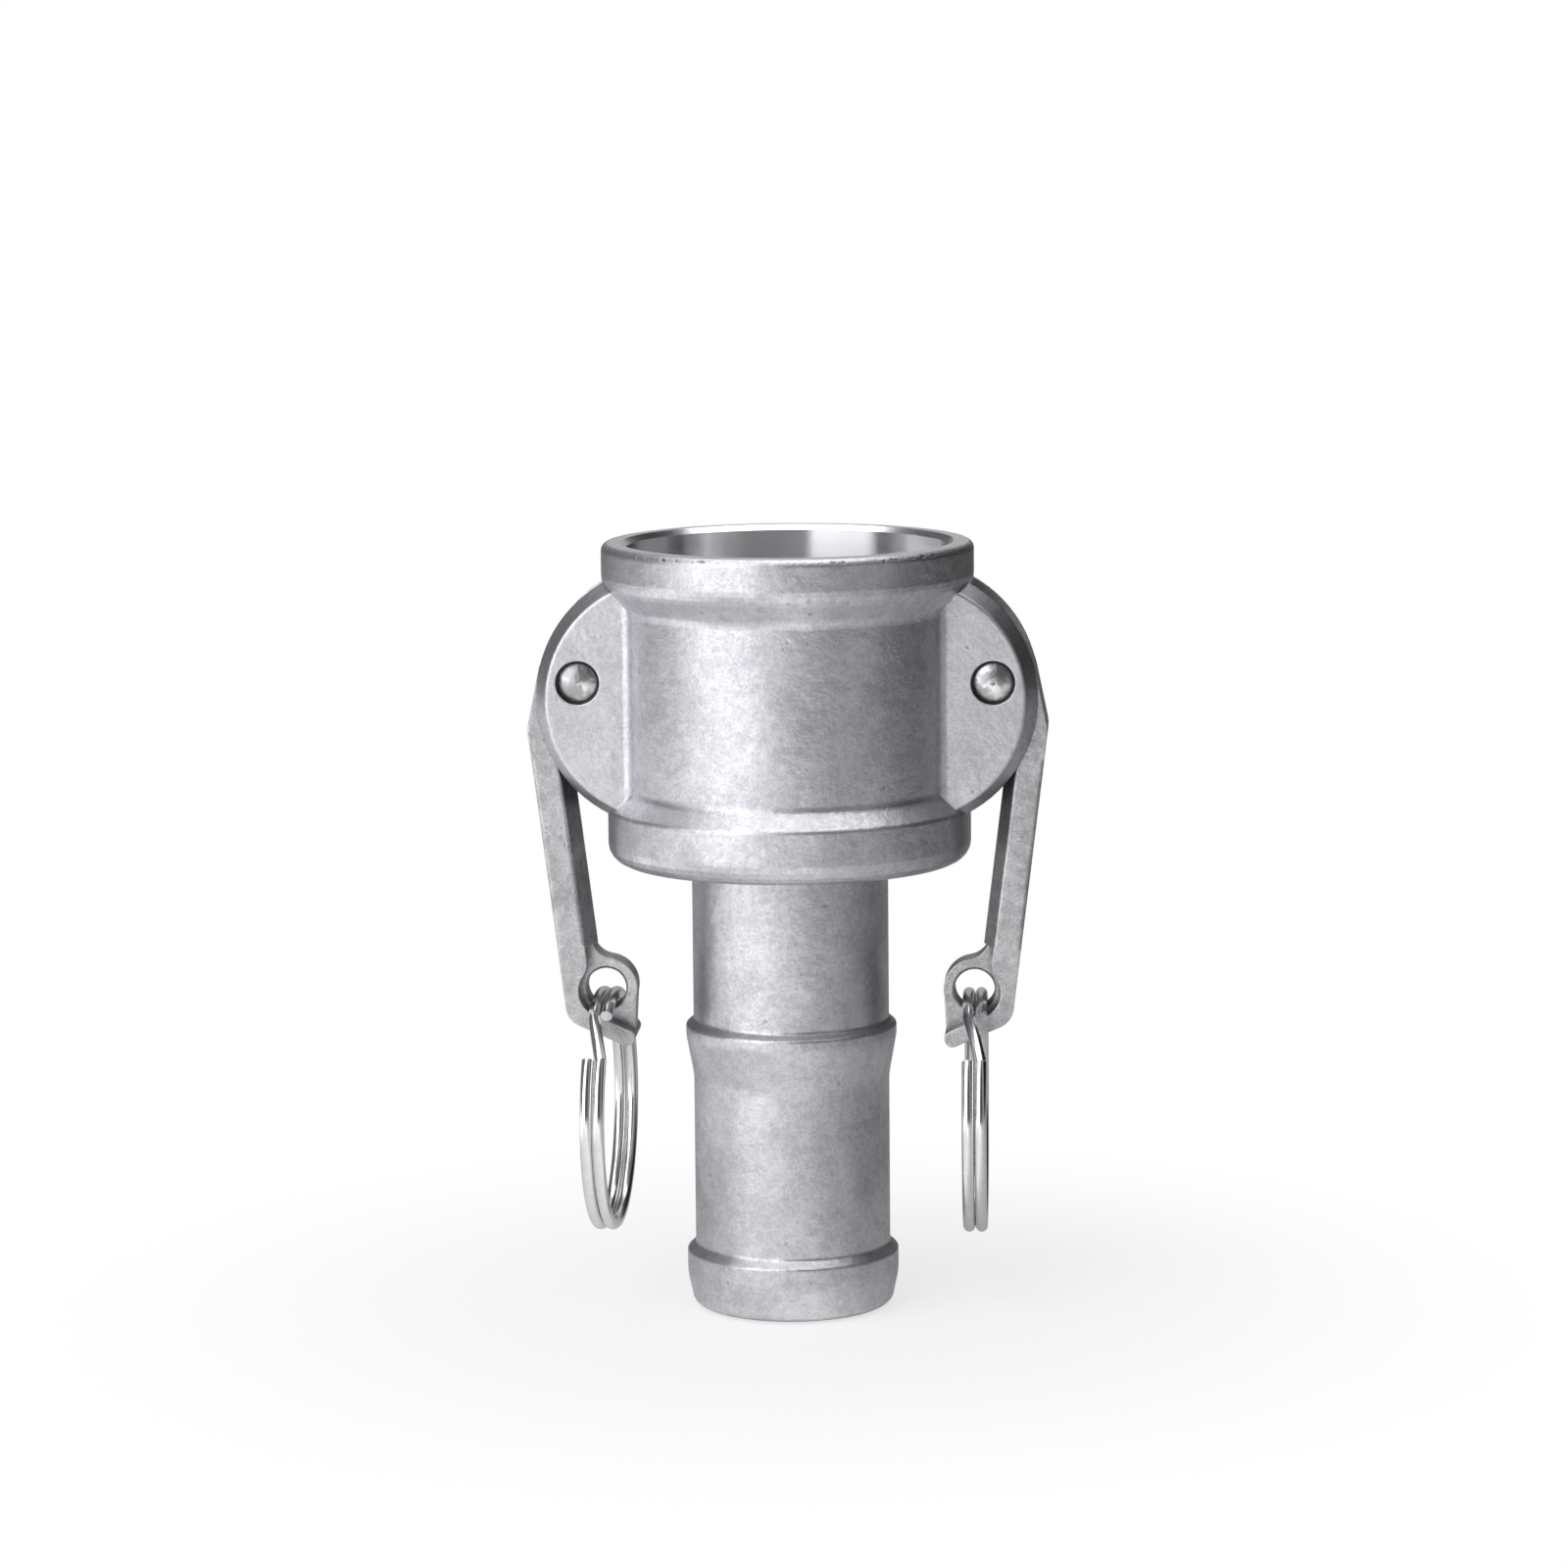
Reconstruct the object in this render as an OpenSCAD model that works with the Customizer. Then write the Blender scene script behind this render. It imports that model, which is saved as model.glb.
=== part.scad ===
// Cam and groove hose coupling: a female coupler with two cam arms on a barbed hose shank.
// It stands on the end of the shank, with its axis on Z and the two arms at +X and -X.

/* [Shank] */
// Outer diameter of the hose shank
shank_d = 26; // [24:0.5:28]
// Length of the shank, from its end to the underside of the gasket collar
shank_len = 59.9; // [56:0.5:70]
// Diameter of the waterway through the shank
waterway_d = 20.5; // [16:0.5:21]
// Height of the middle barb's upper edge above the shank's end
mid_barb_z = 37.9; // [28:0.1:42]
// Height that the middle barb stands out from the shank
mid_barb_h = 1.0; // [0.5:0.1:1.5]
// Length of the middle barb's crest
mid_barb_crest = 1.4; // [1:0.1:3]
// Length over which the middle barb tapers away
mid_barb_taper = 5.5; // [4:0.5:12]
// Height that the end barb stands out from the shank
end_barb_h = 1.1; // [0.5:0.1:1.8]
// Length of the end barb's land, with the rounds at its ends
end_land = 3.2; // [2.4:0.2:5]
// Height at which the end barb's land starts
end_land_z = 4.2; // [3.6:0.2:6]
// Radius on the end of the shank
end_round = 1.5; // [0.5:0.1:1.9]

/* [Barrel] */
// Outer diameter of the barrel
barrel_d = 43.6; // [43:0.2:45]
// Length of the barrel, from the lower collar's shoulder to the mouth collar's shoulder
barrel_len = 24.2; // [22:0.2:30]
// Diameter of the true bore at the bottom of the socket
socket_d = 37.4; // [36:0.2:38]
// Length of the true bore, above the gasket groove
socket_len = 7.0; // [5:0.5:8]
// How much wider the bore is where the cams pass
bore_relief = 0.6; // [0.4:0.1:1.2]

/* [Gasket collar] */
// Outer diameter of the lower collar
collar_d = 48; // [46:0.5:50]
// Height of the lower collar's straight side, with its bottom round
collar_h = 7.2; // [6:0.2:9]
// Height of the lower collar's sloping shoulder
collar_shoulder = 2.3; // [1:0.1:4]
// Radius on the lower collar's bottom edge
collar_round = 2.6; // [0.5:0.1:3]
// Thickness of the floor under the gasket
floor_t = 2.7; // [2:0.1:3.6]

/* [Mouth collar] */
// Outer diameter of the mouth collar
mouth_d = 49; // [47:0.5:52]
// Height of the mouth collar's straight side
mouth_h = 5.3; // [4:0.2:8]
// Height of the mouth collar's sloping shoulder
mouth_shoulder = 3.3; // [1.5:0.1:5]
// Diameter of the lead-in counterbore
lead_d = 42.4; // [40:0.2:43]
// Depth of the lead-in counterbore
lead_depth = 5.5; // [3:0.1:7]
// Length of the cone between the counterbore and the bore
lead_cone = 2.2; // [1:0.1:4]
// Radius on the mouth's outer edge
mouth_round = 1.0; // [0.3:0.1:1.5]
// Radius between the mouth collar's side and its shoulder
mouth_shoulder_round = 3.0; // [1:0.2:3]
// Chamfer on the mouth's inner edge
mouth_chamfer = 0.7; // [0.3:0.1:1.2]

/* [Gasket] */
// Outer diameter of the gasket
gasket_d = 39.7; // [39:0.1:40.2]
// Inner diameter of the gasket
gasket_hole_d = 27; // [24:0.5:30]
// Thickness of the gasket
gasket_t = 6.3; // [5:0.1:7]
// Radius on the gasket's edges
gasket_round = 0.6; // [0.2:0.1:1.2]
// Room round the gasket in its groove
gasket_room = 0.25; // [0.1:0.05:0.4]

/* [Ears] */
// Width over the two cheeks of an ear
ear_w = 15.8; // [15:0.2:18]
// Thickness of each cheek
cheek_t = 3.15; // [2.4:0.05:3.6]
// Radius of the ear's round outline
ear_r = 17.3; // [16.4:0.1:18]
// Distance that the ear's outline centre lies inside the barrel's surface
ear_inset = 6.2; // [5:0.2:7]
// Distance that the ear's outline centre lies below the pin
ear_drop = 2.35; // [1:0.05:3]
// How much the cheeks' drafted rims narrow from the slot to their faces
ear_draft = 1.5; // [0.6:0.1:2]
// Rounding on the outer edges of the cheeks
ear_round = 0.5; // [0.2:0.1:0.8]
// Radius of the fillet where a cheek meets the barrel
root_fillet = 1.6; // [1:0.1:2.6]

/* [Pins] */
// Diameter of the pivot pins
pin_d = 5; // [4:0.1:6]
// Distance from the barrel's surface to the pin's centre
pin_out = 5.35; // [4.6:0.05:6]
// Height of the pins above the lower collar's shoulder
pin_up = 14.95; // [14:0.05:16]
// How far the pin's ends lie under the cheeks' faces
pin_recess = 0.1; // [0:0.05:0.6]
// Height of the dome on the pin's ends
pin_dome = 0.6; // [0.3:0.05:0.8]
// Depth of the counterbore round the pin's ends
pin_sink = 0.9; // [0.5:0.05:1.4]
// Room round the pin in the counterbore
pin_moat = 0.4; // [0.2:0.05:0.6]

/* [Cam arms] */
// Clearance between the arm and each cheek
side_gap = 0.25; // [0.15:0.05:0.5]
// Radius of the arm's head round the pin
head_r = 5.6; // [5.2:0.1:6.2]
// Radius of the round cam
cam_r = 7.4; // [6.8:0.1:7.8]
// Distance from the pin to the cam's centre
cam_throw = 3.5; // [2.8:0.1:3.8]
// Radius on the knuckle at the strap's outer end
knuckle_r = 4.5; // [3:0.1:6]
// Distance from the pin down to the knuckle's corner
knuckle_down = 5.75; // [5:0.05:7]
// Distance from the pin to the strap's outer face
strap_out = 7.85; // [7.4:0.05:8.2]
// Thickness of the strap at its front and back faces
strap_t = 3.6; // [3:0.1:4.2]
// How far the drafted inner side stands out at the strap's middle
strap_draft = 1.4; // [0.6:0.1:1.6]
// Angle of the hanging arm from the coupling's axis
arm_lean = 7.0; // [6:0.1:8]
// Distance from the pin to the eye, along the arm
eye_down = 41.6; // [38:0.2:46]
// Distance of the eye's centre outward from the pin's line
eye_out = 2.4; // [2.1:0.1:2.6]
// Diameter of the eye's hole
eye_d = 5.3; // [5.2:0.1:5.6]
// Wall of the eye round its hole
eye_wall = 1.45; // [1.1:0.05:1.8]
// Thickness of the eye's web
web_t = 4.0; // [3:0.2:4.4]
// Radius of the pocket in the strap round the eye
pocket_r = 3.5; // [3.4:0.05:3.7]
// Distance from the eye's centre down to the hook's outer corner
hook_down = 3.3; // [3:0.05:3.8]
// Angle of the hook's lip below square to the strap
lip_angle = 31; // [28:0.5:34]
// Length of the lip from the outer corner
lip_len = 9.2; // [8.8:0.1:10.2]
// Radius on the hook's outer corner
hook_round = 3.0; // [1:0.1:3.4]

/* [Pull rings] */
// Outer diameter of the pull rings
ring_d = 32.5; // [28:0.5:35]
// Diameter of the ring's wire
ring_wire = 1.6; // [1.3:0.05:1.7]
// Gap between the two coils of the ring
coil_gap = 0.05; // [0.03:0.01:0.15]
// Distance of the wire's centre below the middle of the eye's hole
ring_drop = 1.15; // [1.05:0.05:1.25]
// Half of the angle over which the wire crosses from one coil to the other
crossing = 14; // [10:1:18]
// Angle from the ring's middle up to the crossing, on the front
crossing_up = 49; // [40:1:52]
// Turn of the left ring about its vertical line
left_ring_turn = 3; // [0:0.5:5]
// Turn of the right ring the other way
right_ring_turn = 1; // [0:0.5:2]

/* [Hidden] */

$fn = 96;
cut = 1;                       // how far a cutter reaches past a face
bite = 0.03;                   // how far joined pieces of one casting run into each other
press_gap = 0.02;              // radial gap of the pin in the cheeks
run_gap = 0.06;                // radial gap of the arm on the pin
seat_room = 0.1;               // gap over the gasket in its groove
arc_step = 18;                 // angle of one straight step in a rounded corner of a profile

shank_r = shank_d / 2;
barrel_r = barrel_d / 2;
bore_r = (socket_d + bore_relief) / 2;
lead_r = lead_d / 2;
mouth_r = mouth_d / 2;
collar_r = collar_d / 2;

collar_top = shank_len + collar_h;
barrel_z = collar_top + collar_shoulder;
barrel_top = barrel_z + barrel_len;
mouth_z = barrel_top + mouth_shoulder;
top_z = mouth_z + mouth_h;

seat_z = shank_len + floor_t;
groove_top = seat_z + gasket_t + seat_room;
groove_r = gasket_d / 2 + gasket_room;
socket_top = groove_top + socket_len;

pivot_x = barrel_r + pin_out;
pivot_z = barrel_z + pin_up;
pin_r = pin_d / 2;
ear_x = barrel_r - ear_inset;
ear_z = pivot_z - ear_drop;
arm_w = ear_w - 2 * cheek_t - 2 * side_gap;
slot_w = ear_w - 2 * cheek_t;
cam_reach = cam_throw + cam_r;
window_gap = 1.1;              // room round the cam in the barrel's window

end_taper = 0.6;               // how much the end barb narrows from its land to the shank's end
end_step = 1.0;                // height over which the end barb drops back to the shank
mid_step = 0.8;                // height over which the middle barb drops back to the shank
barb_edge = 0.5;               // rounding on the barbs' upper edges
barb_corner = 0.6;             // concave round above the barbs
barb_swell = 8.0;              // large round where a barb's taper meets its land or the shank
collar_edge = 0.8;             // rounding between the gasket collar's side and its shoulder
shoulder_fillet = 1.5;         // concave round between the gasket collar's shoulder and the barrel
mouth_fillet = 2.0;            // concave round between the barrel and the mouth collar's shoulder
shank_fillet = 1.0;            // concave round between the shank and the gasket collar
end_chamfer = 0.5;             // chamfer of the waterway at the shank's end
seat_chamfer = 0.8;            // chamfer of the waterway at the gasket's seat

cam_tilt = 17;                 // angle of the cam's throw below square to the strap
strap_in = strap_out - strap_t;
ridge = strap_in - strap_draft;
strap_edge = 0.5;              // rounding along the strap's edges
strap_lap = 0.5;               // how far the strap runs into the head and into the hook
eye_r = eye_d / 2;
eye_rim = eye_r + eye_wall;
web_fillet = 3.0;              // concave round between the strap and the eye
throat_fillet = 2.2;           // concave round between the cam and the strap
pocket_turn = 3.0;             // round where the strap's inner edge runs into the pocket
web_inset = 0.2;               // how far the web's corner lies inside the lip's end
eye_chamfer = 0.35;            // chamfer on both edges of the eye's hole
eye = [eye_out, -eye_down];
heel = [strap_out, -eye_down - hook_down];
lip_dir = [-cos(lip_angle), -sin(lip_angle)];
lip_up = [-sin(lip_angle), cos(lip_angle)];
toe = heel + lip_dir * lip_len;
lip_t = (eye - heel) * lip_up - pocket_r + bite;
lip_round = 0.45 * lip_t;      // rounding on the lip's end
cam_c = cam_throw * [-cos(cam_tilt), -sin(cam_tilt)];
throat_x = ridge - throat_fillet;
throat_y = cam_c[1] - sqrt(pow(cam_r + throat_fillet, 2) - pow(throat_x - cam_c[0], 2));

coil_pitch = ring_wire + coil_gap;
coil_r = (ring_d - ring_wire) / 2;
eye_x = pivot_x + eye_out * cos(arm_lean) - eye_down * sin(arm_lean);
eye_z = pivot_z - eye_out * sin(arm_lean) - eye_down * cos(arm_lean);

cast = "Silver";
machined = "LightSteelBlue";
rubber = [0.13, 0.13, 0.14];

// Points of a round of radius r that replaces the corner p between neighbours a and b
function unit(v) = v / norm(v);
function turn(v, w) = v[0] * w[1] - v[1] * w[0];
function corner(a, p, b, r) =
    r <= 0 ? [p] :
    let (u = unit(a - p), v = unit(b - p),
         half = acos(u * v) / 2,
         reach = r / tan(half),
         centre = p + unit(u + v) * r / sin(half),
         from = p + u * reach - centre,
         sweep = (turn(u, v) > 0 ? -1 : 1) * (180 - 2 * half),
         steps = max(2, ceil(abs(sweep) / arc_step)))
    [for (i = [0:steps])
        let (t = sweep * i / steps)
        centre + [from[0] * cos(t) - from[1] * sin(t), from[0] * sin(t) + from[1] * cos(t)]];

// An outline given as [x, y, radius of the corner]
function rounded(path) = [for (i = [0:len(path) - 1])
    let (n = len(path), a = path[(i + n - 1) % n], p = path[i], b = path[(i + 1) % n])
    each corner([a[0], a[1]], [p[0], p[1]], [b[0], b[1]], p[2])];

// Extrudes an outline drawn in X and Z evenly to both sides of the plane Y = 0
module plate(width) {
    rotate([90, 0, 0]) linear_extrude(height = width, center = true) children();
}

// The outside of the casting: shank, barbs, gasket collar, barrel and mouth collar
module casting_outside() {
    end_barb_r = shank_r + end_barb_h;
    mid_barb_r = shank_r + mid_barb_h;
    end_r = end_barb_r - end_taper;
    end_top = end_land_z + end_land;
    mid_low = mid_barb_z - mid_barb_crest;
    rotate_extrude() polygon(rounded([
        [0, 0, 0],
        [end_r, 0, end_round],
        [end_r, end_round + bite, 0],
        [end_barb_r, end_land_z, barb_swell],
        [end_barb_r, end_top, barb_edge],
        [shank_r, end_top + end_step, barb_corner],
        [shank_r, mid_low - mid_barb_taper, barb_swell],
        [mid_barb_r, mid_low, barb_swell / 2],
        [mid_barb_r, mid_barb_z, barb_edge],
        [shank_r, mid_barb_z + mid_step, barb_corner],
        [shank_r, shank_len, shank_fillet],
        [collar_r, shank_len, collar_round],
        [collar_r, collar_top, collar_edge],
        [barrel_r, barrel_z, shoulder_fillet],
        [barrel_r, barrel_top, mouth_fillet],
        [mouth_r, mouth_z, mouth_shoulder_round],
        [mouth_r, top_z, mouth_round],
        [0, top_z, 0]
    ]));
}

// Everything that is bored or turned out of the casting, from the mouth to the shank's end
module casting_bores() {
    waterway_r = waterway_d / 2;
    rotate_extrude() polygon([
        [0, -cut],
        [waterway_r + end_chamfer + cut, -cut],
        [waterway_r, end_chamfer],
        [waterway_r, seat_z - seat_chamfer],
        [waterway_r + seat_chamfer, seat_z],
        [groove_r, seat_z],
        [groove_r, groove_top],
        [socket_d / 2, groove_top],
        [socket_d / 2, socket_top],
        [bore_r, socket_top + bore_relief / 2],
        [bore_r, top_z - lead_depth - lead_cone],
        [lead_r, top_z - lead_depth],
        [lead_r, top_z - mouth_chamfer],
        [lead_r + mouth_chamfer + cut, top_z + cut],
        [0, top_z + cut]
    ]);
}

// The round blank of one ear, on the +X side, with drafted rims
module ear_blank() {
    half = ear_w / 2;
    face_r = ear_r - ear_draft;
    translate([ear_x, 0, ear_z]) rotate([90, 0, 0]) rotate_extrude() polygon(rounded([
        [0, -half, 0],
        [face_r, -half, ear_round],
        [ear_r, cheek_t - half, 0],
        [ear_r, half - cheek_t, 0],
        [face_r, half, ear_round],
        [0, half, 0]
    ]));
}

// Fillets that run down the barrel beside the cheeks of one ear
module root_fillets() {
    half = ear_w / 2;
    // centre of a circle that touches the cheek's face and the barrel
    reach = barrel_r + root_fillet;
    cy = half + root_fillet;
    cx = sqrt(reach * reach - cy * cy);
    intersection() {
        translate([ear_x, 0, ear_z]) rotate([90, 0, 0])
            cylinder(r = ear_r - ear_draft, h = 4 * half, center = true);
        for (s = [-1, 1]) linear_extrude(height = top_z) difference() {
            polygon([[cx, s * (half - 1)], [cx, s * (half - bite)],
                     [cx, s * cy], [cx * barrel_r / reach - bite, s * (cy * barrel_r / reach)],
                     [barrel_r * 0.86, s * (half - 1)]]);
            translate([cx, s * cy]) circle(r = root_fillet + bite / 2);
        }
    }
}

// Two cheeks with the slot for the arm between them, on the +X side
module cheeks() {
    difference() {
        union() {
            ear_blank();
            root_fillets();
        }
        translate([0, -slot_w / 2, 0]) cube([barrel_r * 3, slot_w, top_z]);
    }
}

// Holes for one pin through both cheeks, with a counterbore round the pin's ends
module pin_holes() {
    translate([pivot_x, 0, pivot_z]) rotate([90, 0, 0]) {
        cylinder(r = pin_r + press_gap, h = ear_w + 2 * cut, center = true);
        for (s = [0, 1]) mirror([0, 0, s]) translate([0, 0, ear_w / 2 - pin_sink])
            cylinder(r = pin_r + pin_moat, h = pin_sink + cut);
    }
}

// Window in the barrel's wall that the cam comes through
module cam_window() {
    low = sqrt(pow(cam_reach, 2) - pow(pin_out, 2)) + window_gap;
    high = cam_r + window_gap;
    translate([ear_x, -slot_w / 2, pivot_z - low]) cube([pin_out + ear_inset, slot_w, low + high]);
}

module coupler_body() {
    color(cast) difference() {
        union() {
            casting_outside();
            for (s = [0, 1]) mirror([s, 0, 0]) cheeks();
        }
        casting_bores();
        for (s = [0, 1]) mirror([s, 0, 0]) {
            pin_holes();
            cam_window();
        }
    }
}

module gasket() {
    color(rubber) translate([0, 0, seat_z]) rotate_extrude() polygon(rounded([
        [gasket_hole_d / 2, 0, gasket_round],
        [gasket_d / 2, 0, gasket_round],
        [gasket_d / 2, gasket_t, gasket_round],
        [gasket_hole_d / 2, gasket_t, gasket_round]
    ]));
}

// A headless pin with domed ends, pressed into the cheeks
module pivot_pin() {
    half = ear_w / 2 - pin_recess;
    dome_r = (pin_r * pin_r + pin_dome * pin_dome) / (2 * pin_dome);
    color(machined) translate([pivot_x, 0, pivot_z]) rotate([90, 0, 0]) rotate_extrude()
        for (s = [0, 1]) mirror([0, s]) {
            square([pin_r, half - pin_dome]);
            intersection() {
                square([pin_r, half]);
                translate([0, half - dome_r]) circle(r = dome_r);
            }
        }
}

// Outline of the arm's head: the round cam, the boss round the pin and the knuckle
module head_outline() {
    // angle at which the straight flank above the knuckle touches the boss
    flank = acos(head_r / norm([strap_out, knuckle_down])) - atan2(knuckle_down, strap_out);
    difference() {
        union() {
            circle(r = head_r);
            translate(cam_c) circle(r = cam_r);
            polygon(rounded([
                [cam_c[0], 0, 0],
                [cam_c[0], throat_y, 0],
                [strap_out, throat_y, 0],
                [strap_out, -knuckle_down, knuckle_r],
                [head_r * cos(flank), head_r * sin(flank), 0],
                [0, 0, 0]
            ]));
        }
        translate([throat_x, throat_y]) circle(r = throat_fillet);
        translate([cam_c[0] - cam_r, throat_y - throat_fillet - cut])
            square([throat_x - cam_c[0] + cam_r, throat_fillet + cut]);
        difference() {
            translate([cam_c[0] - cam_r, throat_y - cut])
                square([(throat_x - cam_c[0]) * cam_r / (cam_r + throat_fillet) + cam_r,
                        cam_c[1] - throat_y + cut]);
            translate(cam_c) circle(r = cam_r);
        }
    }
}

// Section of the strap: flat front and back faces, and an inner side drafted to a ridge
function strap_section() =
    let (half = arm_w / 2)
    rounded([
        [strap_out, -half, strap_edge],
        [strap_out, half, strap_edge],
        [strap_in, half, strap_edge],
        [ridge, 0, strap_edge],
        [strap_in, -half, strap_edge]
    ]);

// Outline of the thin web that carries the eye and closes the hook
module web_outline() {
    flank = ridge + strap_draft * web_t / arm_w;
    crook = [flank - web_fillet,
             eye[1] + sqrt(pow(eye_rim + web_fillet, 2) - pow(flank - web_fillet - eye_out, 2))];
    touch = eye + (crook - eye) * eye_rim / (eye_rim + web_fillet);
    strap_mid = strap_in + strap_t / 2;
    difference() {
        union() {
            translate(eye) circle(r = eye_rim);
            polygon([[strap_mid, crook[1]], [flank - bite, crook[1]], touch, eye, [strap_mid, eye[1]]]);
            polygon([eye - [eye_rim, 0], toe + lip_up * (lip_t - lip_round) - lip_dir * web_inset,
                     heel + lip_up * lip_t / 2 + lip_dir * strap_t / 2, [strap_mid, eye[1]]]);
        }
        translate(crook) circle(r = web_fillet);
    }
}

// Outline of the hook: the strap's end bends round the eye and ends in a lip
module hook_outline() {
    tip = toe + lip_up * lip_t;
    foot = eye - lip_up * (pocket_r - bite);
    root_y = eye[1] + pocket_r + pocket_turn;
    bend = [strap_in + pocket_turn,
            eye[1] + sqrt(pow(pocket_r + pocket_turn, 2) - pow(strap_in + pocket_turn - eye_out, 2))];
    touch = eye + (bend - eye) * pocket_r / (pocket_r + pocket_turn);
    difference() {
        polygon(rounded([
            [strap_out, root_y, 0],
            [heel[0], heel[1], hook_round],
            [toe[0], toe[1], lip_round],
            [tip[0], tip[1], lip_round],
            [foot[0], foot[1], 0],
            [eye[0], eye[1], 0],
            [strap_in, eye[1], 0],
            [strap_in, root_y, 0]
        ]));
        translate(eye) circle(r = pocket_r);
        difference() {
            polygon([[strap_in - cut, bend[1]], bend, touch, eye, [strap_in - cut, eye[1]]]);
            translate(bend) circle(r = pocket_turn);
        }
    }
}

// One cam arm with the pin's centre at the origin and its strap along -Z, for the +X side
module cam_arm() {
    strap_top = throat_y + strap_lap;
    strap_end = eye[1] + pocket_r + pocket_turn - strap_lap;
    difference() {
        union() {
            plate(arm_w) head_outline();
            translate([0, 0, strap_end]) linear_extrude(height = strap_top - strap_end) polygon(strap_section());
            plate(web_t) web_outline();
            plate(arm_w) hook_outline();
        }
        rotate([90, 0, 0]) cylinder(r = pin_r + run_gap, h = arm_w + 2 * cut, center = true);
        translate([eye[0], 0, eye[1]]) rotate([90, 0, 0]) {
            cylinder(r = eye_r, h = arm_w + 2 * cut, center = true);
            for (s = [0, 1]) mirror([0, 0, s]) translate([0, 0, web_t / 2 - eye_chamfer])
                cylinder(r1 = eye_r, r2 = eye_r + eye_chamfer + 0.2, h = eye_chamfer + 0.2);
        }
    }
}

module placed_arm() {
    color(cast) translate([pivot_x, 0, pivot_z]) rotate([0, arm_lean, 0]) cam_arm();
}

// A split ring in the plane X = 0 about the origin: two coils and the crossing between them
module split_ring() {
    slope = atan(coil_pitch / (2 * coil_r * sin(crossing)));
    front = 180 - crossing_up;
    for (s = [-1, 1]) translate([s * coil_pitch / 2, 0, 0]) rotate([90, 0, 90])
        rotate([0, 0, front + crossing]) rotate_extrude(angle = 360 - 2 * crossing)
            translate([coil_r, 0]) circle(d = ring_wire, $fn = 32);
    rotate([front, 0, 0]) rotate([0, slope, 0]) rotate([90, 0, 90])
        rotate([0, 0, -crossing * 1.02]) rotate_extrude(angle = 2.04 * crossing)
            translate([coil_r, 0]) circle(d = ring_wire, $fn = 32);
}

// One pull ring hung in the eye of its arm. Both rings are wound the same way.
module placed_ring(side, turn_deg) {
    color(machined) translate([side * eye_x, 0, eye_z]) rotate([0, 0, turn_deg])
        translate([0, 0, -ring_drop - coil_r]) split_ring();
}

module left_pivot_pin() { mirror([1, 0, 0]) pivot_pin(); }
module right_pivot_pin() { pivot_pin(); }
module left_cam_arm() { mirror([1, 0, 0]) placed_arm(); }
module right_cam_arm() { placed_arm(); }
module left_pull_ring() { placed_ring(-1, -left_ring_turn); }
module right_pull_ring() { placed_ring(1, right_ring_turn); }

coupler_body();
gasket();
left_pivot_pin();
right_pivot_pin();
left_cam_arm();
right_cam_arm();
left_pull_ring();
right_pull_ring();
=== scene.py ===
import math

import bpy
from mathutils import Matrix, Vector

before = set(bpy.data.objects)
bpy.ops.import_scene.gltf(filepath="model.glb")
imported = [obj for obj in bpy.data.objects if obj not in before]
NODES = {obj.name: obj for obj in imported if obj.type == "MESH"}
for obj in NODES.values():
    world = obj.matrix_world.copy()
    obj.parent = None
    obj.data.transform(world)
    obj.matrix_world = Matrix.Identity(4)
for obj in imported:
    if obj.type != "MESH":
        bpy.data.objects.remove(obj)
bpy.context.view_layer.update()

MM = 0.001

# Camera, fitted to the photograph: a long lens, a little to the right and above
CAMERA_AT = (0.04519, -0.69098, 0.17239)
CAMERA_TURN = math.radians(3.8)
CAMERA_PITCH = math.radians(8.42)
CAMERA_ROLL = math.radians(-0.5)
SENSOR_MM = 36
LENS_MM = 121.6
VIEW_REACH = (0.01, 20)

# Where the lathe has cut the body: up to BORE_EDGE from the axis, down to the socket's floor,
# and on the mouth's chamfer and flat rim
MOUTH_TOP = 102.2 * MM
MOUTH_CHAMFER = 0.7 * MM
BORE_EDGE = 21.35 * MM
SOCKET_FLOOR = 62.6 * MM
FLOOR_SLACK = 0.2 * MM
RIM_SLACK = 0.05 * MM

# The pins' centres, as distance from the axis and height, and the radius of the gap round their ends
PIN_PLACE = (27.15 * MM, 84.35 * MM)
PIN_RECESS = 2.95 * MM

# How deep the bore stays free of painted shade, how round the edges look, how wide the nicked band is, how
# far out a corner gets painted shade, and how many rays feel for edges and corners
BRIGHT_DEPTH = 6 * MM
EDGE_ROUND = 0.3 * MM
NICKED_EDGE = 0.5 * MM
CORNER_REACH = 1.5 * MM
FEELER_RAYS = 6

# Metal, rubber and the table's top, each as the two tones that it varies between, then rubbed edges with a
# painted highlight, the painted shade deep in the bore, grime with painted shade in corners and round the
# pins, and the pins' painted shade
BODY_STEEL = ((0.48, 0.475, 0.51), (0.70, 0.695, 0.73))
ARM_STEEL = ((0.36, 0.355, 0.37), (0.64, 0.635, 0.655))
TURNED_STEEL = ((0.86, 0.865, 0.885), (0.95, 0.955, 0.975))
PIN_STEEL = ((0.72, 0.72, 0.73), (0.40, 0.40, 0.415))
WIRE_STEEL = ((0.70, 0.70, 0.71), (0.88, 0.88, 0.89))
RUBBER = ((0.012, 0.012, 0.013), (0.035, 0.035, 0.036))
PALE_TOP = ((0.93, 0.93, 0.93), (0.95, 0.95, 0.95))
RUBBED_EDGE_AND_HIGHLIGHT = (0.84, 0.84, 0.85)
BORE_PAINTED_SHADE = (0.13, 0.13, 0.14)
CASTING_GRIME_AND_SHADE = (0.05, 0.048, 0.048)
PIN_PAINTED_SHADE = (0.09, 0.085, 0.085)

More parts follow.
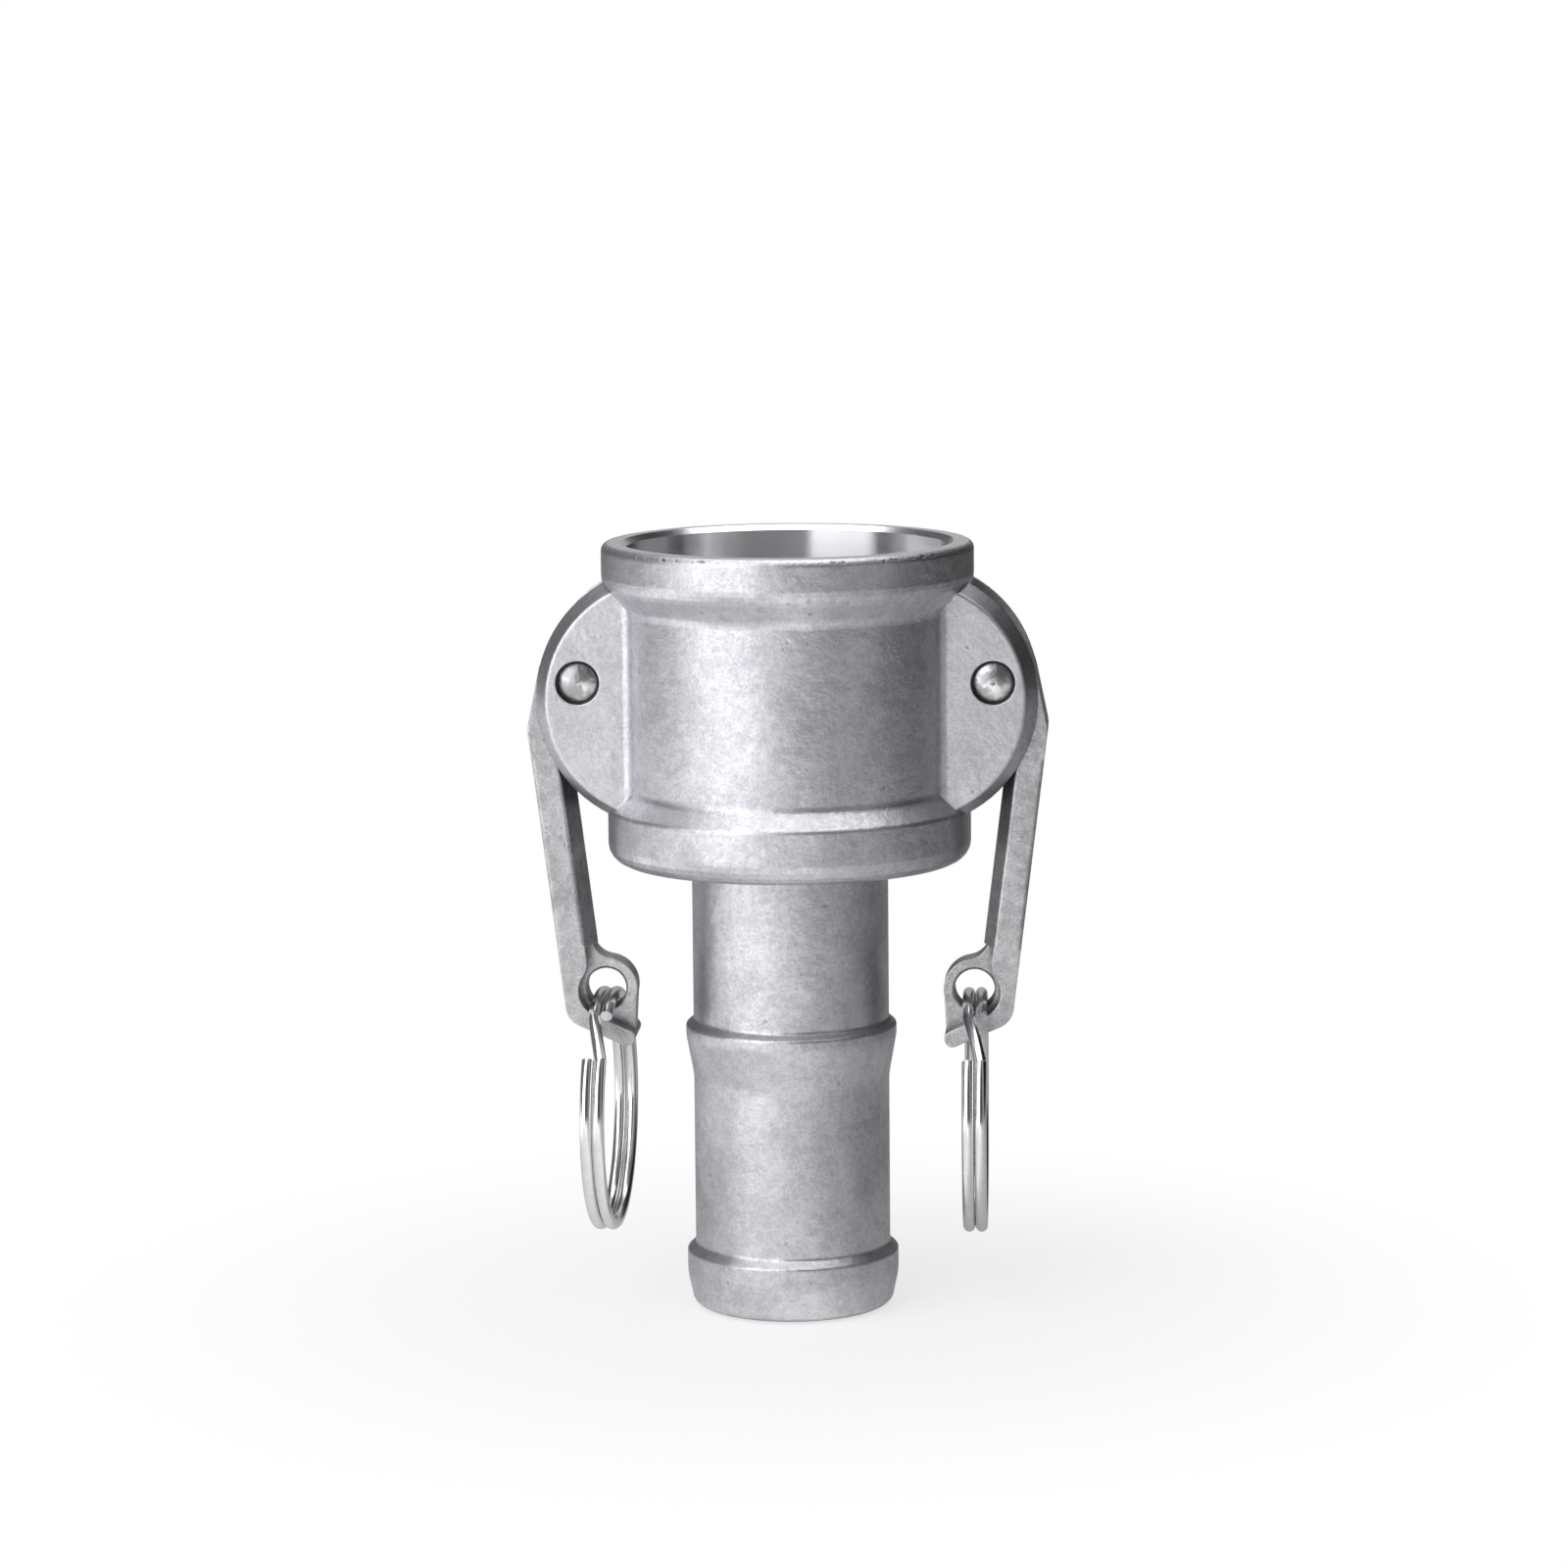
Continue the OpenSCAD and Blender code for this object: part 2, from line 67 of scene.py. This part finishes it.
# How bright the wall, the table and the near part of the table look in the metal, as pairs of
# direction and brightness: 0 degrees is the front and 90 the +X side, and 1 is white paper
WALL_GLOW = [
    (-180, 0.42), (-170, 0.42), (-165, 0.1), (-128, 0.1), (-108, 0.2), (-90, 0.15), (-66, 0.12),
    (-60, 2.5), (-15, 2.6), (-12, 0.12), (38, 0.06), (43, 0.33), (68, 0.3), (74, 0.0),
    (150, 0.03), (165, 0.1), (170, 0.42), (180, 0.42),
]
TABLE_GLOW = [
    (-180, 0.4), (-140, 0.35), (-110, 1.4), (-68, 2.0), (-50, 1.2), (-20, 0.95), (-12, 1.5),
    (14, 1.6), (30, 0.75), (60, 0.6), (90, 0.35), (150, 0.3), (180, 0.4),
]
NEAR_GLOW = [
    (-180, 0.4), (-135, 0.5), (-90, 0.75), (-40, 1.0), (15, 1.15), (60, 0.55), (110, 0.4), (180, 0.4),
]

# The round wall and the table, in metres, and how far the table's near part and the shadow reach on it
WALL_RADIUS = 0.6
WALL_FOOT = -0.01
WALL_TOP = 0.9
WALL_CARDS = 96
TABLE_REACH = 3.0
TABLE_DROP = 0.0002
NEAR_REACH = 0.13
SHADOW_REACH = (0.025, 0.11)

# Soft light from all round, the ceiling as the metal shows it, and the softbox at the front left
FILL_LIGHT = 0.45
CEILING_GLOW = 2.0
SOFTBOX_GLOW = 1.6
SOFTBOX_SIDE = 1.0
SOFTBOX_AWAY = 1.1
SOFTBOX_TURN = math.radians(-42)
SOFTBOX_RISE = math.radians(32)
COUPLING_MIDDLE = Vector((0, 0, 0.06))

# How bright the lamps alone make the open table, the strength of the shadow on it, and the share of the
# table's glow that the metal shows
TABLE_LIT = 0.78
TABLE_SHADOW = 0.4
TABLE_SHINE = 0.85


class Value:
    """A number that changes over a surface, so that shader maths reads as Python."""

    def __init__(self, shop, socket):
        self.shop, self.socket = shop, socket

    def _math(self, operation, *parts, clamp=False):
        settings = {"operation": operation, "use_clamp": clamp}
        return self.shop.node("ShaderNodeMath", settings, dict(enumerate(parts)))["Value"]

    def __add__(self, other):
        return self._math("ADD", self, other)

    __radd__ = __add__

    def __sub__(self, other):
        return self._math("SUBTRACT", self, other)

    def __rsub__(self, other):
        return self._math("SUBTRACT", other, self)

    def __mul__(self, other):
        return self._math("MULTIPLY", self, other)

    __rmul__ = __mul__

    def __truediv__(self, other):
        return self._math("DIVIDE", self, other)

    def __rtruediv__(self, other):
        return self._math("DIVIDE", other, self)

    def absolute(self):
        return self._math("ABSOLUTE", self)

    def root(self):
        return self._math("SQRT", self)

    def clamped(self):
        return self._math("ADD", self, 0.0, clamp=True)

    def ramp(self, low, high):
        """0 below low, 1 above high and smooth between."""
        return self.shop.node("ShaderNodeMapRange", {"interpolation_type": "SMOOTHSTEP"},
                              {"Value": self, "From Min": low, "From Max": high})["Result"]


class Shop:
    """Adds the nodes of a material or of the world."""

    def __init__(self, tree):
        self.tree = tree

    def plug(self, place, part):
        """Sets an input to a number, a colour or another node's output; None leaves it alone."""
        if isinstance(part, Value):
            self.tree.links.new(part.socket, place)
        elif part is not None:
            place.default_value = part

    def node(self, kind, settings=None, inputs=None):
        """Adds a node: its settings first, then its inputs by name or place. Gives its outputs by name."""
        made = self.tree.nodes.new(kind)
        for key, setting in (settings or {}).items():
            if key == "stops":
                self.set_stops(made.color_ramp, setting)
            else:
                setattr(made, key, setting)
        for key, part in (inputs or {}).items():
            self.plug(made.inputs[key], part)
        return {key.name: Value(self, key) for key in made.outputs if key.enabled}

    @staticmethod
    def set_stops(ramp, stops):
        while len(ramp.elements) < len(stops):
            ramp.elements.new(0.5)
        for element, (at, colour) in zip(ramp.elements, stops):
            element.position, element.color = at, colour

    def show(self, surface):
        """Makes a shader other than the Principled one the surface."""
        self.plug(self.tree.nodes["Material Output"].inputs["Surface"], surface)

    def place(self, scale=(1, 1, 1)):
        """Object coordinates, stretched by scale."""
        where = self.node("ShaderNodeTexCoord")["Object"]
        return self.node("ShaderNodeMapping", None, {"Vector": where, "Scale": scale})["Vector"]

    def split(self, vector):
        parts = self.node("ShaderNodeSeparateXYZ", None, {"Vector": vector})
        return parts["X"], parts["Y"], parts["Z"]

    def noise(self, per_metre, detail=3.0, rough=0.55, stretch=(1, 1, 1)):
        """Soft blotches, so many to the metre."""
        inputs = {"Vector": self.place(stretch), "Scale": per_metre, "Detail": detail, "Roughness": rough}
        return self.node("ShaderNodeTexNoise", {"noise_dimensions": "3D"}, inputs)["Fac"]

    def cells(self, per_metre):
        """Distance to the nearest of scattered points, so many to the metre."""
        inputs = {"Vector": self.place(), "Scale": per_metre}
        return self.node("ShaderNodeTexVoronoi", {"feature": "F1"}, inputs)["Distance"]

    def open_air(self):
        """1 in the open and less in corners and gaps."""
        reach = {"Distance": CORNER_REACH}
        return self.node("ShaderNodeAmbientOcclusion", {"samples": FEELER_RAYS}, reach)["AO"]

    def tint(self, mask, dark, light):
        """A colour between two, by a mask from 0 to 1. Each is a plain colour or comes from nodes."""
        low, high = (part if isinstance(part, Value) else (*part, 1) for part in (dark, light))
        # A colour Mix node takes its mask at place 0 and its two colours at 6 and 7
        return self.node("ShaderNodeMix", {"data_type": "RGBA"}, {0: mask, 6: low, 7: high})["Result"]

    def mix(self, mask, low, high):
        """A number between two, by a mask from 0 to 1."""
        return low + mask * (high - low)

    def bearing(self):
        """Direction round the coupling from 0 to 1, where 0.5 is the front."""
        x, y, _ = self.split(self.place())
        angle = self.node("ShaderNodeMath", {"operation": "ARCTAN2"}, {0: x, 1: -1.0 * y})["Value"]
        return angle / math.tau + 0.5

    def by_bearing(self, glow):
        """A brightness that goes by direction, from pairs of degrees and brightness."""
        most = max(bright for _, bright in glow)
        stops = [(degrees / 360 + 0.5, (bright / most,) * 3 + (1,)) for degrees, bright in glow]
        return self.node("ShaderNodeValToRGB", {"stops": stops}, {"Fac": self.bearing()})["Color"] * most

    def bump(self, height, depth, strength, under=None):
        """The surface's normal with a relief on it, over another normal where one is given."""
        inputs = {"Height": height, "Distance": depth, "Strength": strength, "Normal": under}
        return self.node("ShaderNodeBump", None, inputs)["Normal"]


class Finish(Shop):
    """One procedural material, built node by node."""

    def __init__(self, name, **constants):
        self.material = bpy.data.materials.new(name)
        self.material.use_nodes = True
        super().__init__(self.material.node_tree)
        self.shader = self.tree.nodes["Principled BSDF"]
        self.feed(**constants)

    def feed(self, **sockets):
        """Sets or links the shader's sockets, with _ for a space in their names."""
        for socket, part in sockets.items():
            self.plug(self.shader.inputs[socket.replace("_", " ")], part)
        return self.material


def painted_pin_recess_shade(shop):
    """1 in the narrow gap round the end of each pin, where a painted shade goes."""
    x, _, z = shop.split(shop.place())
    across, up = x.absolute() - PIN_PLACE[0], z - PIN_PLACE[1]
    return 1.0 - (across * across + up * up).root().ramp(0.97 * PIN_RECESS, PIN_RECESS)


def mouth_nicks(shop):
    """Small nicks in clusters along the mouth's edge."""
    _, _, z = shop.split(shop.place())
    edge_band = 1.0 - (z - MOUTH_TOP + NICKED_EDGE).absolute().ramp(0.0, 1.6 * NICKED_EDGE)
    spots = (0.65 * shop.noise(1100, 2.0) + 0.35 * edge_band).ramp(0.69, 0.74)
    clusters = shop.noise(52, 1.0).ramp(0.46, 0.54)
    return spots * clusters


def cast_finish(name, steel, corner_shade_range, stained):
    """Blasted stainless casting: fine grain and mottling, a coarser skin in patches, a few pits and stains,
    nicks at the mouth, edges lightened as rubbed wear and a painted highlight, and painted shade in corners
    and round the pins."""
    shop = Finish(name, Metallic=1.0)
    grain = shop.noise(2900, 2.0, 0.6)
    mottle = shop.noise(1000, 2.0, 0.55)
    coarse = shop.mix(shop.noise(95, 1.0).ramp(0.42, 0.60), 0.8, 2.2)
    peel = shop.noise(560, 2.0, 0.5) * coarse
    cloud = shop.noise(230, 3.0, 0.5)
    patch = shop.noise(75, 2.0, 0.5)
    pits = (1.0 - shop.cells(430).ramp(0.05, 0.18)) * shop.noise(150, 1.0).ramp(0.58, 0.66)
    tone = (0.36 * grain + 0.22 * mottle + 0.22 * cloud + 0.20 * patch - 0.2 * pits).ramp(0.35, 0.65)

    air = shop.open_air()
    # Painted shade in corners and gaps and in the gap round each pin, mixed below with real nicks and
    # stains
    corners = 1.0 - air.ramp(*corner_shade_range)
    nicks = mouth_nicks(shop)
    stain = stained * shop.noise(170, 4.0, 0.6).ramp(0.52, 0.72)
    grime_and_painted_shade = (corners * 0.85 + 0.95 * painted_pin_recess_shade(shop) + 0.6 * nicks + stain).clamped()

    edge = shop.node("ShaderNodeBevel", {"samples": FEELER_RAYS}, {"Radius": EDGE_ROUND})["Normal"]
    faces = shop.node("ShaderNodeNewGeometry")["Normal"]
    flat = shop.node("ShaderNodeVectorMath", {"operation": "DOT_PRODUCT"}, {0: edge, 1: faces})["Value"]
    # Edges lighter in colour: partly rubbed wear, partly a painted highlight along them
    rubbed_and_highlit = (1.0 - flat.ramp(0.88, 0.99)) * air.ramp(0.75, 0.95)

    height = 0.5 * mottle + 0.5 * grain + peel - 0.8 * pits - 1.2 * nicks
    grimed_and_shaded = shop.tint(grime_and_painted_shade, shop.tint(tone, *steel), CASTING_GRIME_AND_SHADE)
    return shop.feed(
        Base_Color=shop.tint(0.7 * rubbed_and_highlit, grimed_and_shaded, RUBBED_EDGE_AND_HIGHLIGHT),
        Roughness=shop.mix(tone, 0.48, 0.38) - 0.1 * rubbed_and_highlit,
        Normal=shop.bump(height, 0.05 * MM, 0.9, edge),
    )


def turned_finish(name, grooved):
    """Turned steel, with grooves round the axis that spread the light across them, and a painted shade
    deeper down the bore.
    """
    shop = Finish(name, Metallic=1.0, Anisotropic=grooved, Anisotropic_Rotation=0.25)
    _, _, z = shop.split(shop.place())
    grooves = shop.noise(1.0, 2.0, 0.5, stretch=(40, 40, 4200))
    smear = shop.noise(260, 2.0, 0.5)
    # Painted shade: the bore's colour darkens deeper than BRIGHT_DEPTH below the mouth
    polished = z.ramp(MOUTH_TOP - 1.4 * BRIGHT_DEPTH, MOUTH_TOP - BRIGHT_DEPTH)
    return shop.feed(
        Base_Color=shop.tint(polished, BORE_PAINTED_SHADE, shop.tint(grooves, *TURNED_STEEL)),
        Roughness=shop.mix(smear, 0.23, 0.28),
        Normal=shop.bump(grooves, 0.01 * MM, 0.25),
    )


def wire_finish():
    """Drawn and tumbled stainless wire."""
    shop = Finish("polished_ring_wire", Metallic=1.0)
    scuff = shop.noise(900, 3.0, 0.6)
    return shop.feed(
        Base_Color=shop.tint(scuff, *WIRE_STEEL),
        Roughness=shop.mix(scuff, 0.14, 0.22),
        Normal=shop.bump(scuff, 0.01 * MM, 0.1),
    )


def pin_finish():
    """Pins with domed, peened ends, dull in blotches, and with a painted shade where they meet the cheeks.
    """
    shop = Finish("polished_pin", Metallic=1.0)
    scuff = shop.noise(1300, 3.0, 0.6)
    dull = shop.noise(520, 2.0, 0.5).ramp(0.40, 0.60)
    # Painted shade: darker where the pins meet the cheeks
    corners = 1.0 - shop.open_air().ramp(0.2, 0.7)
    return shop.feed(
        Base_Color=shop.tint(corners * 0.9, shop.tint(dull, *PIN_STEEL), PIN_PAINTED_SHADE),
        Roughness=shop.mix(scuff, 0.22, 0.36) + 0.1 * dull,
        Normal=shop.bump(0.5 * scuff + dull, 0.05 * MM, 0.8),
    )


def rubber_finish():
    """Black moulded rubber with a faint bloom."""
    shop = Finish("moulded_rubber", Specular_IOR_Level=0.4)
    bloom = shop.noise(400, 3.0, 0.6)
    return shop.feed(
        Base_Color=shop.tint(bloom, *RUBBER),
        Roughness=shop.mix(bloom, 0.55, 0.72),
        Normal=shop.bump(bloom, 0.02 * MM, 0.4),
    )


def dress(node, material):
    """Gives a CAD node a better material."""
    for slot in NODES[node].material_slots:
        slot.material = material


def face_finish(node, material, chosen):
    """Gives the chosen faces of a CAD node another material."""
    mesh = NODES[node].data
    mesh.materials.append(material)
    for face in mesh.polygons:
        if chosen(face.center):
            face.material_index = len(mesh.materials) - 1


def in_socket(at):
    """The socket's inside, which the lathe has cut."""
    return math.hypot(at.x, at.y) < BORE_EDGE and at.z > SOCKET_FLOOR - FLOOR_SLACK


def on_rim(at):
    """The chamfer and the flat top of the rim, which the lathe has cut too."""
    on_chamfer = math.hypot(at.x, at.y) < BORE_EDGE + MOUTH_CHAMFER and at.z > MOUTH_TOP - MOUTH_CHAMFER
    return on_chamfer or at.z > MOUTH_TOP - RIM_SLACK


def link(name, data):
    """Puts a mesh, a lamp or a camera into the scene as an object."""
    made = bpy.data.objects.new(name, data)
    bpy.context.collection.objects.link(made)
    return made


def place_camera():
    """The photograph's camera, which looks a little to the left and down."""
    data = bpy.data.cameras.new("camera")
    data.sensor_width, data.lens = SENSOR_MM, LENS_MM
    data.clip_start, data.clip_end = VIEW_REACH
    camera = link("camera", data)
    level = Vector((-math.sin(CAMERA_TURN), math.cos(CAMERA_TURN), 0))
    ahead = math.cos(CAMERA_PITCH) * level - math.sin(CAMERA_PITCH) * Vector((0, 0, 1))
    right = Vector((math.cos(CAMERA_TURN), math.sin(CAMERA_TURN), 0))
    up = right.cross(ahead)
    across = math.cos(CAMERA_ROLL) * right + math.sin(CAMERA_ROLL) * up
    upright = math.cos(CAMERA_ROLL) * up - math.sin(CAMERA_ROLL) * right
    turn = Matrix((across, upright, -ahead)).transposed().to_4x4()
    camera.matrix_world = Matrix.Translation(CAMERA_AT) @ turn
    bpy.context.scene.camera = camera


def light_world():
    """A white backdrop, soft light from all round, and a bright ceiling that only the metal shows."""
    world = bpy.data.worlds.new("studio")
    bpy.context.scene.world = world
    world.use_nodes = True
    shop = Shop(world.node_tree)
    path = shop.node("ShaderNodeLightPath")
    lit = shop.mix(path["Is Glossy Ray"], FILL_LIGHT, CEILING_GLOW)
    backdrop = (path["Is Camera Ray"] + path["Is Transmission Ray"]).clamped()
    background = shop.tree.nodes["Background"].inputs
    shop.plug(background["Color"], (1, 1, 1, 1))
    shop.plug(background["Strength"], shop.mix(backdrop, lit, 1.0))


def table():
    """A pale table, white with a soft shadow for the camera, and bright where the metal shows it."""
    mesh = bpy.data.meshes.new("table")
    corners = ((-1, -1), (1, -1), (1, 1), (-1, 1))
    mesh.from_pydata([(x * TABLE_REACH, y * TABLE_REACH, 0) for x, y in corners], [], [(0, 1, 2, 3)])
    top = link("table", mesh)
    top.location.z = -TABLE_DROP
    shop = Finish("pale_table", Specular_IOR_Level=0.0, Roughness=1.0)
    shop.feed(Base_Color=shop.tint(shop.noise(8), *PALE_TOP))

    x, y, _ = shop.split(shop.place())
    away = (x * x + y * y).root()
    shadow = TABLE_SHADOW * (1.0 - away.ramp(*SHADOW_REACH))
    near_edge = away.ramp(0.7 * NEAR_REACH, 1.3 * NEAR_REACH)
    mirrored = shop.mix(near_edge, shop.by_bearing(NEAR_GLOW), shop.by_bearing(TABLE_GLOW))

    # The camera sees white, apart from the shadow's share, which is the table as the lamps light it
    path = shop.node("ShaderNodeLightPath")
    seen = (1.0 - TABLE_LIT * shadow) / (1.0 - shadow)
    strength = shop.mix(path["Is Glossy Ray"], seen, mirrored)
    share = path["Is Camera Ray"] * (1.0 - shadow) + path["Is Glossy Ray"] * TABLE_SHINE
    glow = shop.node("ShaderNodeEmission", None, {"Strength": strength})["Emission"]
    lit = Value(shop, shop.shader.outputs[0])
    shop.show(shop.node("ShaderNodeMixShader", None, {0: share, 1: lit, 2: glow})["Shader"])
    mesh.materials.append(shop.material)


def studio_wall():
    """A round wall of cards beside the coupling, seen only in its reflections."""
    mesh = bpy.data.meshes.new("studio_wall")
    turns = [math.tau * i / WALL_CARDS for i in range(WALL_CARDS)]
    ring = [(WALL_RADIUS * math.sin(a), -WALL_RADIUS * math.cos(a)) for a in turns]
    points = [(x, y, z) for z in (WALL_FOOT, WALL_TOP) for x, y in ring]
    after = [(i + 1) % WALL_CARDS for i in range(WALL_CARDS)]
    cards = [(i, after[i], WALL_CARDS + after[i], WALL_CARDS + i) for i in range(WALL_CARDS)]
    mesh.from_pydata(points, [], cards)
    shop = Finish("studio_wall")
    shop.show(shop.node("ShaderNodeEmission", None, {"Strength": shop.by_bearing(WALL_GLOW)})["Emission"])
    mesh.materials.append(shop.material)
    wall = link("studio_wall", mesh)
    wall.visible_camera = wall.visible_diffuse = wall.visible_shadow = wall.visible_transmission = False


def softbox():
    """A square lamp that faces the coupling; the metal shows the bright part of the wall in its place."""
    level = Vector((math.sin(SOFTBOX_TURN), -math.cos(SOFTBOX_TURN), 0))
    way = math.cos(SOFTBOX_RISE) * level + math.sin(SOFTBOX_RISE) * Vector((0, 0, 1))
    data = bpy.data.lights.new("key", "AREA")
    data.shape, data.size = "SQUARE", SOFTBOX_SIDE
    data.energy = SOFTBOX_GLOW * math.pi * SOFTBOX_SIDE ** 2
    lamp = link("key", data)
    lamp.location = COUPLING_MIDDLE + SOFTBOX_AWAY * way
    lamp.rotation_euler = way.to_track_quat("Z", "Y").to_euler()
    lamp.visible_glossy = False


bpy.context.scene.view_settings.view_transform = "Standard"
place_camera()
light_world()
table()
studio_wall()
softbox()

dress("coupler_body", cast_finish("blasted_casting", BODY_STEEL, corner_shade_range=(0.1, 0.5), stained=0.12))
face_finish("coupler_body", turned_finish("turned_bore", grooved=1.0), in_socket)
face_finish("coupler_body", turned_finish("turned_rim", grooved=0.2), on_rim)
for side in ("left", "right"):
    casting = cast_finish(f"{side}_arm_casting", ARM_STEEL, corner_shade_range=(0.3, 0.8), stained=0.4)
    dress(f"{side}_cam_arm", casting)
    dress(f"{side}_pivot_pin", pin_finish())
    dress(f"{side}_pull_ring", wire_finish())
dress("gasket", rubber_finish())
